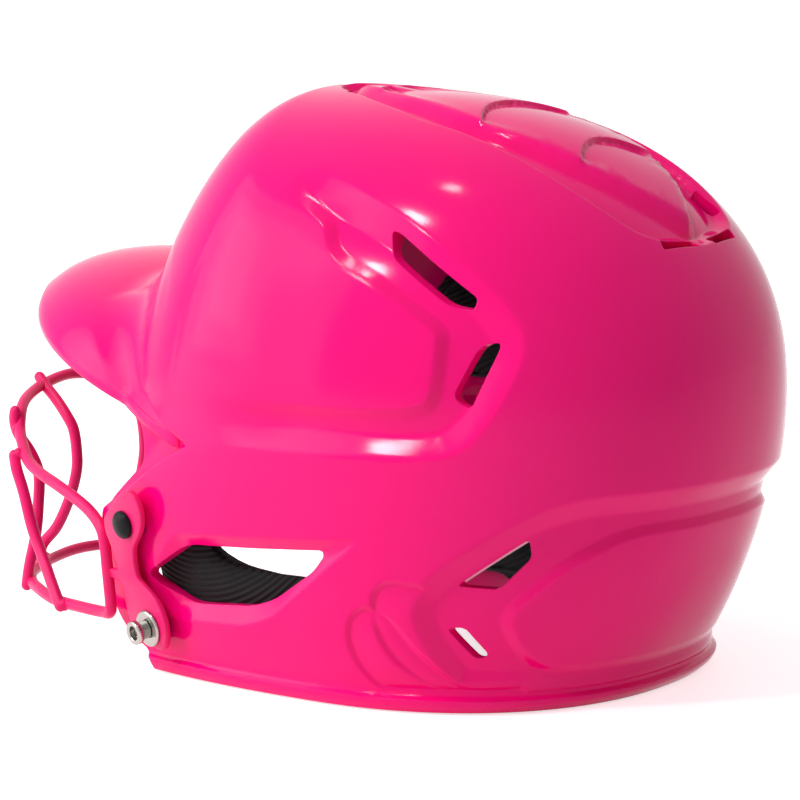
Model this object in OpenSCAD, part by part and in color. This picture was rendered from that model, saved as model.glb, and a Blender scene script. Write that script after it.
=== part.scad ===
/* [Shell] */
// Half of the dome's width at its widest level
side_w = 100; // [92:1:108]
// From the dome's centre forward to the forehead
front_len = 115; // [108:1:122]
// From the dome's centre back to the rear
rear_len = 122; // [114:1:130]
// Height of the widest level above the bottom rim
belt_z = 99; // [94:1:104]
// Height of the crown above the widest level
crown_h = 103; // [96:1:110]
// Wall of the moulded shell
wall = 3.6; // [3:0.2:4.4]
// How far the outer layer stands proud of the scoops and channels
relief = 4.5; // [3.5:0.5:5.5]
// Height of the rolled lip along the bottom rim
lip_h = 5; // [4:0.5:6]
// How far the lip stands out from the wall
lip_out = 2.5; // [2:0.5:3.5]

/* [Brim] */
// Radius of the brim's outline
brim_r = 82.5; // [80:0.5:85]
// From the dome's centre forward to the centre of the brim's outline
brim_y = 79.5; // [78:0.5:82]
// Height of the brim's edge at the temples
brim_edge_z = 97.5; // [95:0.5:99]
// How much higher the edge is at the middle of the brim
brim_arch = 29.5; // [27:0.5:32]
// Thickness of the brim
brim_t = 4; // [3.5:0.5:5]

/* [Face guard] */
// Diameter of the coated guard wire
wire_d = 4.2; // [3.6:0.2:4.6]
// Thickness of the side plates
plate_t = 2.2; // [1.8:0.2:2.6]
// Gap between the shell and a side plate, which the spacers fill
plate_gap = 2.4; // [2:0.2:3]
// Thread diameter of the guard screws and the studs
thread_d = 5; // [4.5:0.5:5.5]
// Diameter of the domed screw head
head_d = 10; // [9.5:0.5:11]
// Diameter of the strap stud's ring
stud_d = 8.5; // [8:0.5:10]
// Length of the stud from the plate to its end
stud_len = 7; // [6:0.5:9]

/* [Padding] */
// Thickness of the fabric pads
pad_t = 11; // [9:1:13]
// Gap between a pad's back and the shell's inside
pad_gap = 0.9; // [0.8:0.1:1.4]

/* [Hidden] */

pink = "deeppink";
coat = "hotpink";

// Exponents of the dome's rounded outlines: plan, side view ahead and behind, front view
plan_power = 2.25;
front_power = 1.33;
rear_power = 3.3;
side_power = 2.3;
// Where the crown lies ahead of the dome's centre, and how the walls draw in towards the rim
crown_lean = -42;
side_taper = 0.14;
rear_taper = 0.27;
// How much further forward the flaps reach, below the widest level
jaw_reach = 35;

wire_r = wire_d / 2;
// How far the inner bars' tops lie ahead of the brow wire
lap = wire_d - 0.5;
brow_y = -175;
// The helmet's front-to-back middle is put on the origin
centre_y = (lap + wire_r - brow_y - rear_len) / 2;

function rise(z, d) = max(0, min(1, (z - belt_z) / (crown_h - d)));
function drop(z) = max(0, (belt_z - z) / belt_z);
function arc(t, p) = pow(max(0, 1 - pow(t, p)), 1 / p);
function half_w(z, d) = (side_w - d) * arc(rise(z, d), side_power) * (1 - side_taper * pow(drop(z), 2));
function front_r(z, d) = (front_len - d) * arc(rise(z, d), front_power) + jaw_reach * min(1, 2.5 * drop(z));
function rear_r(z, d) = (rear_len - d) * arc(rise(z, d), rear_power) * (1 - rear_taper * pow(drop(z), 2));
function mid_y(z, d) = crown_lean * pow(rise(z, d), 2);
function plan_r(angle, a, b) = pow(pow(abs(cos(angle)) / a, plan_power) + pow(abs(sin(angle)) / b, plan_power),
                                   -1 / plan_power);

// A point of the dome at a turn from +X and a height, pushed in by d
function dome_at(angle, z, d) =
  let (a = max(half_w(z, d), 0.01), b = max(sin(angle) > 0 ? rear_r(z, d) : front_r(z, d), 0.01))
  let (r = plan_r(angle, a, b))
  [r * cos(angle), r * sin(angle) + mid_y(z, d), z];

// How far the side wall lies from the middle plane
function side_x(y, z, d) =
  let (from_mid = y - mid_y(z, d), b = from_mid > 0 ? rear_r(z, d) : front_r(z, d))
  half_w(z, d) * pow(max(0, 1 - pow(abs(from_mid) / b, plan_power)), 1 / plan_power);

// Faces of a closed grid of rings: rows of points that go round, capped at both ends
function tube_faces(rows, cols) = concat(
  [for (i = [0:rows - 2], j = [0:cols - 1])
    let (k = (j + 1) % cols) each [[i * cols + j, (i + 1) * cols + j, i * cols + k],
                                   [i * cols + k, (i + 1) * cols + j, (i + 1) * cols + k]]],
  [for (j = [1:cols - 2]) [0, j, j + 1]],
  [for (j = [1:cols - 2]) [(rows - 1) * cols, (rows - 1) * cols + j + 1, (rows - 1) * cols + j]]
);

// How far the lower layer lies below the outer one: little at the forehead, all of it behind the temples
function sunk(angle, z) = relief * max(lookup(dome_at(angle, z, 0)[1], [[-22, 0.12], [14, 1]]),
                                       lookup(z, [[58, 1], [66, 0.55], [84, 0.55], [104, 0], [176, 0], [190, 1]]));

// A closed dome pushed in by d, and by the share s of the lower layer's depth
module dome(d, s, rows, cols) {
  tops = [for (i = [0:rows - 1]) belt_z + (crown_h - d - s * relief) * sin(90 * i / (rows - 1))];
  heights = concat([for (z = [-12:belt_z / 6:belt_z - 8]) z], tops);
  points = [for (z = heights, j = [0:cols - 1]) dome_at(360 * j / cols, z, d + s * sunk(360 * j / cols, z))];
  polyhedron(points, tube_faces(len(heights), cols));
}

// Side-view outlines, as distance back from the dome's centre and height
scoop = [[-12, 176], [16, 171], [36, 163], [57, 150], [74, 136], [78.5, 128], [78, 118], [73, 106], [66, 96],
         [54, 91], [24, 91], [-38, 86.5], [-52, 100], [-44, 140], [-26, 176]];
temple = [[-40, 86], [-52, 80], [-64, 72], [-73, 65], [-92, 55], [-130, 55], [-130, 97], [-79, 97], [-60, 92]];
vents = [[[35, 160], [66, 139], [62, 137], [38, 151]], [[74, 125], [66, 104], [61, 108], [68, 124]]];
rear_slots = [[[83, 61], [63, 46], [71, 45], [83, 55]], [[58, 31], [63, 20], [66, 21], [62, 30]]];
low_rear = [[140, 77], [98, 76], [85, 71], [70, 61], [54, 50], [47, 42], [45, 34], [47, 25], [52, 14], [56, 7],
            [140, 7]];
rear_panel = [[140, 64], [107, 64], [92, 54], [74, 37], [72, 31], [74, 21], [79, 12], [140, 11]];
ear_rim = [[-50, 53], [-16, 56], [33, 60], [10, 41], [-8, 27], [-21, 22], [-43, 21], [-66, 35]];
ear_hole = [[-65, 36], [-48, 47], [-42, 49], [-15, 51], [14, 53.5], [15, 51.5], [11, 46], [-7, 34], [-18, 30],
            [-47, 27], [-60, 32]];
face_gap = [[-260, 126], [-100, 126], [-90, 108], [-78, 91], [-70, 85], [-67, 79], [-67, 74], [-77, 66],
            [-86, 59], [-91, 54], [-91, 30], [-88, 18], [-80, 10], [-70, 6], [-64, -20], [-260, -20]];
crown_recess = [[0, -46], [16, -34], [29, -10], [37, 17], [37, 45], [36, 60], [33, 75], [31, 90], [29, 97],
                [20, 103], [0, 106.5], [-20, 103], [-29, 97], [-31, 90], [-33, 75], [-36, 60], [-37, 45],
                [-37, 17], [-29, -10], [-16, -34]];
crown_leaf = [[0, -38], [9, -30], [21, -5], [30.5, 25], [31.5, 44], [28.5, 56], [25.5, 66], [18, 77], [10, 88],
              [5, 97], [0, 104], [-5, 97], [-10, 88], [-18, 77], [-25.5, 66], [-28.5, 56], [-31.5, 44],
              [-30.5, 25], [-21, -5], [-9, -30]];
// The crown's cuts come down to this height
crown_cut_z = 140;
crown_slots = [[[17, -26], [20, -27], [26.5, -13], [24, -12]], [[31, 9], [34, 8], [36, 32], [33, 32]],
               [[32.5, 53], [35.5, 52], [33.5, 70], [30.5, 70]], [[27, 80], [31, 80], [29, 94], [26, 93]],
               [[24, 101.5], [5, 104.5], [5, 100], [23, 97]]];

module side_prism(outline, x0, grow) {
  translate([x0, 0, 0]) rotate([90, 0, 90]) linear_extrude(height = 2 * side_w)
    offset(delta = grow) polygon(outline);
}
module both_sides() {
  children();
  mirror([1, 0, 0]) children();
}

// Everything that lies on the lower layer, seen through the outer layer's cut-outs
module lowered_areas(grow) {
  both_sides() {
    side_prism(scoop, 30, grow);
    side_prism(temple, 30, grow);
    side_prism(low_rear, -1, grow);
    side_prism(ear_rim, 60, grow);
  }
  translate([0, 0, crown_cut_z]) linear_extrude(height = side_w) offset(delta = grow) difference() {
    polygon(crown_recess);
    polygon(crown_leaf);
  }
}

module outer_body() {
  dome(0, 1, 9, 40);
  difference() {
    dome(0, 0, 11, 48);
    lowered_areas(0);
  }
  intersection() {
    dome(relief - 2, 0, 6, 36);
    both_sides() side_prism(rear_panel, -1, 0);
  }
}

// The edge of the brim, its root on the dome, and the surface between them. Beyond both ends of its curve
// the edge runs on back along the side wall and sinks into it.
brim_end = 25;
brim_proud = 3.5;
root_rise = 30;
brim_crown = 24;
function lift(t, power) = pow(max(0, sin(t)), power);
function past(t) = min(1, max(0, -t, t - 180) / brim_end);
function brim_edge(t) =
  let (y = -brim_y - brim_r * sin(t), z = brim_edge_z + brim_arch * sin(t),
       wall_x = side_x(y, z, (past(t) * 1.3 - 1) * brim_proud))
  [past(t) > 0 ? wall_x * sign(cos(t)) : brim_r * cos(t), y, z];
function brim_root(t) = dome_at(-42 - 48 * t / 90,
                                brim_edge_z + 6 + min(0, brim_arch * sin(t)) + root_rise * lift(t, 0.6), 2);
function brim_top(t, s) = brim_edge(t) * (1 - s) + brim_root(t) * s
  + [0, 0, brim_crown * pow(s, 0.57) * (1 - s) * lift(t, 0.5)];
function brim_ring(t) = concat(
  [for (s = [0, 0.12, 0.3, 0.5, 0.75, 1]) brim_top(t, s)],
  [for (s = [1, 0.75, 0.5, 0.3, 0.12, 0]) brim_top(t, s) - [0, 0, brim_t]]
);
module brim() {
  rows = 35;
  points = [for (i = [0:rows - 1]) each brim_ring(-brim_end + (180 + 2 * brim_end) * i / (rows - 1))];
  polyhedron(points, tube_faces(rows, 12));
}

// The lip follows the wall's foot and stands out more at the rear
module rim_lip() {
  linear_extrude(height = lip_h) polygon([for (j = [0:71])
    let (t = 360 * j / 72, foot = dome_at(t, lip_h, 0), way = [cos(t), sin(t)])
    [foot[0], foot[1]] + way * lip_out * (1 + max(0, sin(t)))]);
}

module cavity() {
  difference() {
    dome(wall, 0, 10, 48);
    lowered_areas(wall);
  }
  dome(wall, 1, 10, 48);
}

module shell() {
  color(pink) difference() {
    resize([0, 0, belt_z + crown_h]) difference() {
      union() {
        difference() {
          union() {
            outer_body();
            rim_lip();
          }
          side_prism(face_gap, -side_w, 0);
        }
        brim();
      }
      cavity();
      translate([-200, -260, -60]) cube([400, 520, 60]);
      both_sides() {
        for (v = concat(vents, rear_slots, [ear_hole])) side_prism(v, 45, 0);
        for (v = crown_slots) translate([0, 0, crown_cut_z]) linear_extrude(height = side_w) polygon(v);
      }
    }
    both_sides() for (p = [screw_at, stud_at]) on_plate(p, -14)
      cylinder(d = thread_d + 2 * thread_gap, h = 20, $fn = 32);
  }
}

// The side plate's own frame: X out of the plate, Y back along it, Z up along it
plate_turn = -17;
plate_lean = 9;
plate_y = -69.2;
plate_z = 35.6;
screw_at = [0.8, 18.6];
stud_at = [7.3, -18.1];
module plate_frame() {
  translate([side_x(plate_y, plate_z, 0), plate_y, plate_z]) rotate([0, 0, plate_turn])
    rotate([0, plate_lean, 0]) children();
}
module on_plate(p, x) {
  plate_frame() translate([x, p[0], p[1]]) rotate([0, 90, 0]) children();
}
plate_out = plate_gap + plate_t;
// Radial gap round a screw or stud in the shell, and in the parts that it clamps
thread_gap = 0.3;
clamp_gap = 0.15;
// How far the curved wall falls away below the plate's frame at each fastener's inner seat
screw_seat = 1.7;
stud_seat = 2.2;
// How far a thread runs on past its nut's inner face
thread_end = 1;
plate_outline = [[-12.5, 14], [-12.5, 19], [-3, 27], [3, 31], [7, 31.5], [10, 29.5], [12, 26], [12, 21],
                 [9.8, 16.5], [4, 10.5], [3, 5], [3.5, -0.7], [9.2, -4.1], [15, -8], [17.5, -14], [17.5, -19],
                 [15.8, -23.8], [12.8, -25.7], [6.6, -25], [-0.5, -21], [-5.5, -16.5], [-6.7, -3.5], [-8.5, 5]];
// The tab's end meets the frame wire beside it
wire_at = -15.2;
tab_end = wire_at + wire_r;
tab_z = [-3.3, 0.2];

module side_plate() {
  plate_frame() difference() {
    union() {
      translate([plate_gap, 0, 0]) rotate([90, 0, 90]) linear_extrude(height = plate_t) polygon(plate_outline);
      translate([plate_gap, tab_end, tab_z[0]]) cube([plate_t, -tab_end, tab_z[1] - tab_z[0]]);
    }
    for (p = [screw_at, stud_at]) translate([plate_gap - 1, p[0], p[1]])
      rotate([0, 90, 0]) cylinder(d = thread_d + 2 * clamp_gap, h = plate_t + 2, $fn = 32);
  }
}
module guard_left_plate() { color(coat) side_plate(); }
module guard_right_plate() { color(coat) mirror([1, 0, 0]) side_plate(); }

module ring(inner, outer, h) {
  difference() {
    cylinder(d = outer, h = h, $fn = 48);
    translate([0, 0, -1]) cylinder(d = inner, h = h + 2, $fn = 48);
  }
}

// The domed screw: a thread below the plate's face and a low dome with a short upright rim above it
dome_rim = 0.8;
dome_h = 2.4;
function thread_foot(seat) = -wall - seat - nut_h - thread_end;
module domed_screw() {
  on_plate(screw_at, plate_out) rotate_extrude($fn = 48)
    polygon(concat([[0, thread_foot(screw_seat) - plate_out], [thread_d / 2, thread_foot(screw_seat) - plate_out],
                    [thread_d / 2, 0], [head_d / 2, 0]],
                   [for (t = [0:15:75]) [head_d / 2 * cos(t), dome_rim + dome_h * sin(t)]], [[0, dome_rim + dome_h]]));
}
module guard_left_screw() { color("black") domed_screw(); }
module guard_right_screw() { color("black") mirror([1, 0, 0]) domed_screw(); }

spacer_d = 12;
module spacers() {
  for (p = [screw_at, stud_at]) on_plate(p, 0) ring(thread_d + 2 * clamp_gap, spacer_d, plate_gap);
}
module guard_left_spacer() { color("black") spacers(); }
module guard_right_spacer() { color("black") mirror([1, 0, 0]) spacers(); }

nut_h = 3;
nut_d = 9;
flange_d = 11;
flange_h = 1;
module flange_nut(p, seat) {
  on_plate(p, -wall - seat - nut_h) difference() {
    union() {
      cylinder(d = nut_d, h = nut_h, $fn = 6);
      translate([0, 0, nut_h - flange_h]) cylinder(d = flange_d, h = flange_h, $fn = 48);
    }
    translate([0, 0, -1]) cylinder(d = thread_d, h = nut_h + 2, $fn = 48);
  }
}
module guard_left_nut() { color("silver") flange_nut(screw_at, screw_seat); }
module guard_right_nut() { color("silver") mirror([1, 0, 0]) flange_nut(screw_at, screw_seat); }
module strap_left_nut() { color("silver") flange_nut(stud_at, stud_seat); }
module strap_right_nut() { color("silver") mirror([1, 0, 0]) flange_nut(stud_at, stud_seat); }

// The stud: a thread, a post, and a hollow ring with a rounded-off rim at its end
washer_h = 1.4;
washer_d = 13;
ring_h = 4;
ring_wall = 1.8;
rim_h = 1.4;
module stud() {
  foot = thread_foot(stud_seat) - plate_out - washer_h;
  on_plate(stud_at, plate_out + washer_h) rotate_extrude($fn = 48)
    polygon([[0, foot], [thread_d / 2, foot], [thread_d / 2, 0], [stud_d / 2 - 1, 0],
             [stud_d / 2 - 1, stud_len - ring_h], [stud_d / 2, stud_len - ring_h + 0.6],
             [stud_d / 2, stud_len - rim_h - 0.5], [stud_d / 2 - 0.7, stud_len - rim_h],
             [stud_d / 2 - ring_wall, stud_len - rim_h], [stud_d / 2 - ring_wall, stud_len - ring_h - 0.4],
             [0, stud_len - ring_h - 0.4]]);
}
module strap_left_stud() { color("silver") stud(); }
module strap_right_stud() { color("silver") mirror([1, 0, 0]) stud(); }
module stud_washer() { on_plate(stud_at, plate_out) ring(thread_d, washer_d, washer_h); }
module strap_left_washer() { color("silver") stud_washer(); }
module strap_right_washer() { color("silver") mirror([1, 0, 0]) stud_washer(); }

// A smooth path through points, four steps a span
function curve(p0, p1, p2, p3, t) =
  0.5 * (2 * p1 + (p2 - p0) * t + (2 * p0 - 5 * p1 + 4 * p2 - p3) * t * t + (3 * p1 - p0 - 3 * p2 + p3) * t * t * t);
function open_path(p, steps) = let (n = len(p)) concat(
  [for (i = [0:n - 2], k = [0:steps - 1])
    curve(p[max(i - 1, 0)], p[i], p[i + 1], p[min(i + 2, n - 1)], k / steps)], [p[n - 1]]);
function closed_path(p, steps) = let (n = len(p))
  [for (i = [0:n - 1], k = [0:steps - 1])
    curve(p[(i + n - 1) % n], p[i], p[(i + 1) % n], p[(i + 2) % n], k / steps)];
function unit(v) = v / norm(v);

wire_sides = 8;
// The guard's routes were measured at this flap width and wire: they spread with the flaps, and the bars
// move out with the wire
drawn_x = 86.516;
drawn_d = 4.2;
function spread(p) = [p[0] * side_x(plate_y, plate_z, 0) / drawn_x, p[1], p[2]];
function spread_out(points, way) = [for (p = points) spread(p) + (wire_d - drawn_d) * way];
function wire_ring(at, along, toward) =
  let (n = unit(toward - (toward * along) * along), b = cross(along, n))
  [for (j = [0:wire_sides - 1]) at + wire_r * (cos(360 * j / wire_sides) * n + sin(360 * j / wire_sides) * b)];

module bar(points, way) {
  path = open_path(spread_out(points, way), 2);
  n = len(path);
  rings = [for (i = [0:n - 1])
    each wire_ring(path[i], unit(path[min(i + 1, n - 1)] - path[max(i - 1, 0)]), [1, 0, 0])];
  polyhedron(rings, tube_faces(n, wire_sides));
}
// Faces of a closed loop of rings
function loop_faces(n, sides) = [for (i = [0:n - 1], j = [0:sides - 1])
  let (k = (j + 1) % sides, m = (i + 1) % n)
  each [[i * sides + j, m * sides + j, i * sides + k], [i * sides + k, m * sides + j, m * sides + k]]];

// Half of the frame wire's route, from the middle of the brow down in front of the flap to the chin
half_route = [[16, -173.5, 84.8], [28, -170, 82.8], [38, -165, 80.8], [46, -159.5, 77.5],
              [52, -154.5, 72.5], [60.5, -145, 67.2], [66, -137.5, 64.2], [71.8, -126.8, 62.1],
              [76, -116.4, 60.1], [79.4, -104.6, 56.7], [81.9, -96.3, 53.6], [84.3, -89.9, 49.8],
              [85.6, -86.5, 44.8], [85.7, -85.1, 33.8], [85.2, -84.3, 22.8], [83.8, -85.9, 18.6],
              [81, -91.6, 17.6], [77.3, -104.8, 17.1], [71.5, -121.7, 16.7], [64.5, -135, 17.6],
              [55, -147.3, 17.8], [42, -158, 18], [21, -168, 18]];
chin_y = -171;
function across(p) = [-p[0], p[1], p[2]];
frame_route = concat([[0, brow_y, 86.5]], half_route, [[0, chin_y, 18.8]],
                     [for (i = [len(half_route) - 1:-1:0]) across(half_route[i])]);
module guard_frame_wire() {
  path = closed_path([for (p = frame_route) spread(p)], 2);
  n = len(path);
  color(coat) polyhedron([for (i = [0:n - 1])
    each wire_ring(path[i], unit(path[(i + 1) % n] - path[(i + n - 1) % n]), path[i] - [0, -115, 50])],
    loop_faces(n, wire_sides));
}

inner_way = [0, -1, 0];
middle_way = [0.5, -0.9, 0];
outer_way = [0.8, -0.6, 0];
inner_bar = [[16, brow_y - drawn_d + 0.5, 88], [17.3, -178.1, 84.6], [18.7, -174.4, 79.8], [19.7, -161, 75], [20, -156, 69],
             [20, -154.6, 60], [20, -155, 53], [20.5, -158, 43], [21, -164, 31.5], [21.5, -171, 23.6],
             [21.5, -173, 15.5]];
middle_bar = [[49.5, -161.5, 81], [50.3, -162, 76.5], [50.6, -160.2, 71.5], [50, -153.8, 64.5],
              [50, -150.5, 57], [51, -150.5, 45], [53, -150, 34.5], [56, -151.2, 24], [57.2, -151.8, 15.3]];
outer_bar = [[63.1, -148.8, 68.5], [64.1, -146.8, 62], [64.5, -142.5, 53], [66.5, -137.5, 39.5],
             [70.8, -130.2, 28.8], [76.3, -121.5, 20.5], [78.3, -117.2, 14.8]];
module guard_left_inner_bar() { color(coat) bar(inner_bar, inner_way); }
module guard_right_inner_bar() { color(coat) mirror([1, 0, 0]) bar(inner_bar, inner_way); }
module guard_left_middle_bar() { color(coat) bar(middle_bar, middle_way); }
module guard_right_middle_bar() { color(coat) mirror([1, 0, 0]) bar(middle_bar, middle_way); }
module guard_left_outer_bar() { color(coat) bar(outer_bar, outer_way); }
module guard_right_outer_bar() { color(coat) mirror([1, 0, 0]) bar(outer_bar, outer_way); }

// Pads lie a little off the shell's inside, or off its lower layer where that crosses them
pad_back = wall + pad_gap;
low_pad_back = relief + pad_back;
function swell(u) = pow(max(0, 1 - pow(abs(2 * u - 1), 4)), 0.5);

// A pad that follows the shell's inside between two turns and two heights: its face is crowned, its sides
// draw in, and channels run across it
module wrapped_pad(turn0, turn1, z0, z1, back, cols, rows, channels) {
  function depth(u, v) = pad_t * (0.3 + 0.7 * swell(u) * swell(v) * (0.72 + 0.28 * abs(sin(180 * u * channels))));
  function narrow(u, k) = 0.5 + (u - 0.5) * k;
  function spot(u, v, d) = dome_at(turn0 + (turn1 - turn0) * u, z0 + (z1 - z0) * v, back + d);
  points = [for (j = [0:rows]) let (v = j / rows) each concat(
    [for (i = [0:cols]) spot(i / cols, v, 0)],
    [for (i = [cols:-1:0]) spot(narrow(i / cols, 0.94), narrow(v, 0.92), depth(i / cols, v))])];
  polyhedron(points, tube_faces(rows + 1, 2 * (cols + 1)));
}

// The liner is a foam cap inside the crown
liner_t = 7;
liner_z = 158;
module crown_cap(d, low) {
  rows = 8;
  cols = 36;
  heights = concat([low], [for (i = [0:rows - 1]) liner_z + (belt_z + crown_h - d - liner_z) * sin(90 * i / (rows - 1))]);
  polyhedron([for (z = heights, j = [0:cols - 1]) dome_at(360 * j / cols, z, d)], tube_faces(rows + 1, cols));
}
module crown_liner() {
  color("royalblue") difference() {
    crown_cap(low_pad_back, liner_z - 1);
    crown_cap(low_pad_back + liner_t, liner_z - 30);
  }
}
module front_pad() { color("black") wrapped_pad(-130, -50, 128, 156, pad_back, 24, 6, 4); }
module rear_pad() { color("black") wrapped_pad(62, 118, 14, 68, low_pad_back, 16, 7, 3); }
module side_pad() { wrapped_pad(-40, 24, 84, 128, low_pad_back, 20, 6, 3); }
module left_side_pad() { color("black") side_pad(); }
module right_side_pad() { color("black") mirror([1, 0, 0]) side_pad(); }
module rear_side_pad() { wrapped_pad(58, 84, 84, 134, pad_back, 10, 7, 1); }
module left_rear_side_pad() { color("black") rear_side_pad(); }
module right_rear_side_pad() { color("black") mirror([1, 0, 0]) rear_side_pad(); }

// The ear pad runs down ahead of the ear and back below it, as [y, z, half width]
ear_route = [[-46, 70, 12], [-47, 58, 16], [-46, 44, 17], [-38, 32, 19], [-20, 26, 18], [0, 26, 17], [22, 27, 16],
             [38, 30, 13]];
module ear_pad() {
  route = open_path(ear_route, 3);
  n = len(route);
  sides = 10;
  function inside(p) = [side_x(p[0], p[1], low_pad_back), p[0], p[1]];
  points = [for (i = [0:n - 1])
    let (p = route[i], q = route[min(i + 1, n - 1)] - route[max(i - 1, 0)], m = norm([q[0], q[1]]),
         out = [-q[1], q[0]] / m)
    each [for (k = [0:sides - 1])
      let (a = 360 * k / sides, s = inside([p[0], p[1]] + out * p[2] * cos(a) * (sin(a) > 0.1 ? 0.92 : 1)))
      s - [pad_t * max(0, 0.25 + 0.85 * sin(a)) * (0.8 + 0.2 * abs(sin(180 * i / 3))), 0, 0]]];
  polyhedron(points, [for (f = tube_faces(n, sides)) [f[0], f[2], f[1]]]);
}
module left_ear_pad() { color("black") ear_pad(); }
module right_ear_pad() { color("black") mirror([1, 0, 0]) ear_pad(); }

module placed() { translate([0, centre_y, 0]) children(); }
placed() shell();
placed() guard_frame_wire();
placed() guard_left_inner_bar();
placed() guard_right_inner_bar();
placed() guard_left_middle_bar();
placed() guard_right_middle_bar();
placed() guard_left_outer_bar();
placed() guard_right_outer_bar();
placed() guard_left_plate();
placed() guard_right_plate();
placed() guard_left_screw();
placed() guard_right_screw();
placed() guard_left_spacer();
placed() guard_right_spacer();
placed() guard_left_nut();
placed() guard_right_nut();
placed() strap_left_stud();
placed() strap_right_stud();
placed() strap_left_washer();
placed() strap_right_washer();
placed() strap_left_nut();
placed() strap_right_nut();
placed() crown_liner();
placed() front_pad();
placed() rear_pad();
placed() left_side_pad();
placed() right_side_pad();
placed() left_rear_side_pad();
placed() right_rear_side_pad();
placed() left_ear_pad();
placed() right_ear_pad();
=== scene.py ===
import math

import bmesh
import bpy
import numpy as np
from mathutils import Matrix, Vector


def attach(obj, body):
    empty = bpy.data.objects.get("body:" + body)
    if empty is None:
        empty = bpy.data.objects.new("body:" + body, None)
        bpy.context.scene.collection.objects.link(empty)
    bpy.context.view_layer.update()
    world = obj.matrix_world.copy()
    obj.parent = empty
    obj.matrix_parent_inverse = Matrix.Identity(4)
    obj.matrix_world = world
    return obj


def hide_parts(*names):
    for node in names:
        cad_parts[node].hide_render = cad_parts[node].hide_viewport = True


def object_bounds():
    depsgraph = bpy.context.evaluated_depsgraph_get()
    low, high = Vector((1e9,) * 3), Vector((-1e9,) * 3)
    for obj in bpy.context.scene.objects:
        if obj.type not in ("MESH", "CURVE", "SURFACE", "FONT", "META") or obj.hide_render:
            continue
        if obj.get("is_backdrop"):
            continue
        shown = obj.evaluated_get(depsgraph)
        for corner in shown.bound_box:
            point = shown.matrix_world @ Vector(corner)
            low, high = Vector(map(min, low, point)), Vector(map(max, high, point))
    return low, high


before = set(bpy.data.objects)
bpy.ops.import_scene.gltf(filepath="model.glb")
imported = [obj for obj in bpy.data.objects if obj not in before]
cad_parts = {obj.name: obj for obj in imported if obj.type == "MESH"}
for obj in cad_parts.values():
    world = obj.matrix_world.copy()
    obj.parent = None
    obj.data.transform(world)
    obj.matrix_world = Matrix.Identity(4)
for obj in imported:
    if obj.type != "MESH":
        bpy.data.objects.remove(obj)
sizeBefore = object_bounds()
scene = bpy.context.scene

# all shaping below is in millimetres round the dome's centre; placeMesh turns it into metres in the CAD frame
centreY = 29.4


# general helpers
def placeMesh(bm, name, material):
    # writes a bmesh in millimetres as an object in metres, with its faces turned outwards
    bmesh.ops.recalc_face_normals(bm, faces=bm.faces)
    bmesh.ops.transform(bm, matrix=Matrix.Scale(0.001, 4) @ Matrix.Translation((0, centreY, 0)), verts=bm.verts)
    mesh = bpy.data.meshes.new(name)
    bm.to_mesh(mesh)
    bm.free()
    for polygon in mesh.polygons:
        polygon.use_smooth = True
    obj = bpy.data.objects.new(name, mesh)
    scene.collection.objects.link(obj)
    if material:
        mesh.materials.append(material)
    return obj


def applyModifiers(obj):
    depsgraph = bpy.context.evaluated_depsgraph_get()
    mesh = bpy.data.meshes.new_from_object(obj.evaluated_get(depsgraph))
    old = obj.data
    obj.modifiers.clear()
    obj.data = mesh
    bpy.data.meshes.remove(old)


def remeshVoxels(obj, size):
    remesh = obj.modifiers.new("remesh", "REMESH")
    remesh.mode = "VOXEL"
    remesh.voxel_size = size
    remesh.use_smooth_shade = True


def combine(target, tools, operation):
    # a boolean with each tool in turn, and the tools taken away
    for tool in tools:
        modifier = target.modifiers.new("combine", "BOOLEAN")
        modifier.object = tool
        modifier.operation = operation
        modifier.solver = "MANIFOLD"
        applyModifiers(target)
        bpy.data.objects.remove(tool)


def extrudeRing(bm, ring, move):
    # a closed prism from a ring of corners
    made = bmesh.ops.extrude_face_region(bm, geom=[bm.faces.new(ring)])
    bmesh.ops.translate(bm, vec=move, verts=[v for v in made["geom"] if isinstance(v, bmesh.types.BMVert)])


def stitchRings(bm, pairs):
    # a band of faces between the closed rings of each pair
    for a, b in pairs:
        for j, corner in enumerate(a):
            bm.faces.new((corner, a[(j + 1) % len(a)], b[(j + 1) % len(a)], b[j]))


def roundedOutline(points, radius, steps=5):
    # the same outline with its corners turned into short curves
    points = [np.array(p, float) for p in points]
    rounded = []
    for i, corner in enumerate(points):
        before, after = points[i - 1], points[(i + 1) % len(points)]
        reach = min(radius, 0.45 * np.linalg.norm(before - corner), 0.45 * np.linalg.norm(after - corner))
        start = corner + (before - corner) / np.linalg.norm(before - corner) * reach
        end = corner + (after - corner) / np.linalg.norm(after - corner) * reach
        for k in range(steps + 1):
            t = k / steps
            rounded.append((1 - t) ** 2 * start + 2 * t * (1 - t) * corner + t * t * end)
    return rounded


def inwardDistance(outline, points):
    # distance from each point to the outline, positive inside it
    a = np.array(outline, float)
    b = np.roll(a, -1, axis=0)
    nearest = np.full(len(points), 1e9)
    inside = np.zeros(len(points), bool)
    for p, q in zip(a, b):
        along = q - p
        t = np.clip(((points - p) @ along) / max(along @ along, 1e-12), 0, 1)
        nearest = np.minimum(nearest, np.linalg.norm(points - p - t[:, None] * along, axis=1))
        crosses = (p[1] > points[:, 1]) != (q[1] > points[:, 1])
        with np.errstate(divide="ignore", invalid="ignore"):
            inside ^= crosses & (points[:, 0] < (q[0] - p[0]) * (points[:, 1] - p[1]) / (q[1] - p[1]) + p[0])
    return np.where(inside, nearest, -nearest)


def slope(distance, width, fillet=0.15):
    # 0 to 1 over the width, straight in the middle and rounded at both ends
    t = np.clip(distance / width, 0, 1)
    low = t * t / (2 * fillet * (1 - fillet))
    high = 1 - (1 - t) ** 2 / (2 * fillet * (1 - fillet))
    middle = (t - fillet / 2) / (1 - fillet)
    return np.where(t < fillet, low, np.where(t > 1 - fillet, high, middle))


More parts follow.
